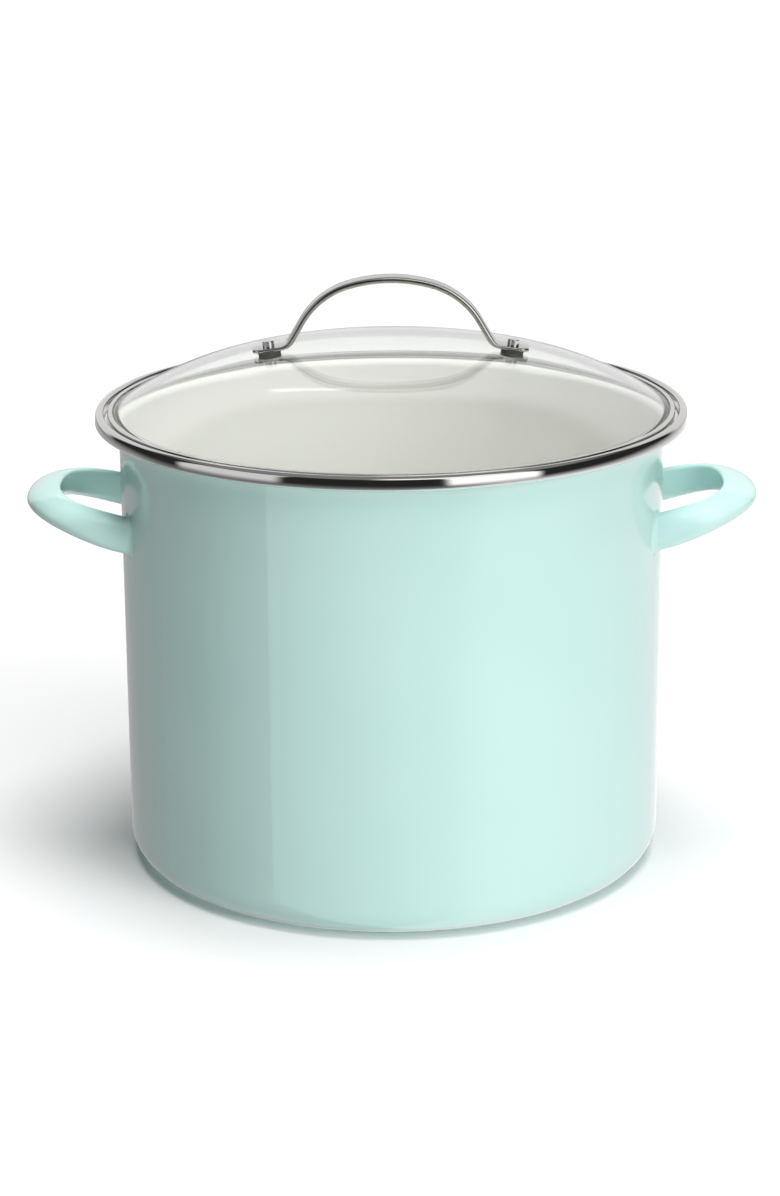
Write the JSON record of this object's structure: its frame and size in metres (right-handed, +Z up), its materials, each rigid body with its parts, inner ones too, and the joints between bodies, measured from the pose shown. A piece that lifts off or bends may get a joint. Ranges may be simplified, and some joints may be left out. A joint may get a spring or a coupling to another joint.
{
  "type": "water bath canner",
  "caption": "Enamelled cylindrical pot with two side loop handles, a domed glass lid with a strap handle, and a lift-out wire jar rack.",
  "frame": {"origin": "centre of the flat standing ring, on the surface that the pot stands on", "axes": "+Z up through the pot; X through the two side handles; Y across them, the front of the picture towards -Y"},
  "size_m": [0.4042, 0.326, 0.328],
  "materials": {
    "mint_enamel": "glossy mint vitreous enamel on sheet steel",
    "white_enamel": "glossy off-white vitreous enamel",
    "rim_steel": "polished stainless steel",
    "lid_glass": "clear tempered glass",
    "handle_steel": "polished stainless steel with a fine lengthwise grain",
    "fixing_steel": "turned stainless steel",
    "spacer_silicone": "matt dark grey silicone",
    "rack_wire": "bright plated steel wire"
  },
  "bodies": {
    "pot": {"pot_shell": "mint_enamel", "pot_lining": "white_enamel", "rim_band": "rim_steel", "side_handle_left": "mint_enamel", "side_handle_right": "mint_enamel"},
    "jar_rack": {"rack_base_wires": "rack_wire", "rack_base_rings": "rack_wire", "rack_bottom_ring": "rack_wire", "rack_top_ring": "rack_wire", "rack_center_ring": "rack_wire", "rack_dividers": "rack_wire", "rack_eyes": "rack_wire"},
    "lid": {"lid_glass": "lid_glass", "lid_rim_band": "rim_steel", "lid_handle": "handle_steel", "handle_nut_left": "fixing_steel", "handle_nut_right": "fixing_steel", "handle_spacer_left": "spacer_silicone", "handle_spacer_right": "spacer_silicone", "upper_gasket_left": "spacer_silicone", "upper_gasket_right": "spacer_silicone", "lower_gasket_left": "spacer_silicone", "lower_gasket_right": "spacer_silicone", "lower_washer_left": "fixing_steel", "lower_washer_right": "fixing_steel", "handle_screw_left": "fixing_steel", "handle_screw_right": "fixing_steel"},
    "rack_handle_left": {"rack_handle_left": "rack_wire"},
    "rack_handle_right": {"rack_handle_right": "rack_wire"}
  },
  "joints": [
    {"name": "rack_lift", "type": "slide", "parent": "pot", "child": "jar_rack", "axis": [0, 0, 1], "range_m": [0, 0.27]},
    {"name": "lid_lift", "type": "slide", "parent": "jar_rack", "child": "lid", "axis": [0, 0, 1], "range_m": [0, 0.15]},
    {"name": "rack_handle_fold_left", "type": "hinge", "parent": "jar_rack", "child": "rack_handle_left", "pos_m": [-0.12909, 0, 0.076], "axis": [0, 1, 0], "range_deg": [0, 94]},
    {"name": "rack_handle_fold_right", "type": "hinge", "parent": "jar_rack", "child": "rack_handle_right", "pos_m": [0.12909, 0, 0.076], "axis": [0, -1, 0], "range_deg": [0, 94]}
  ]
}
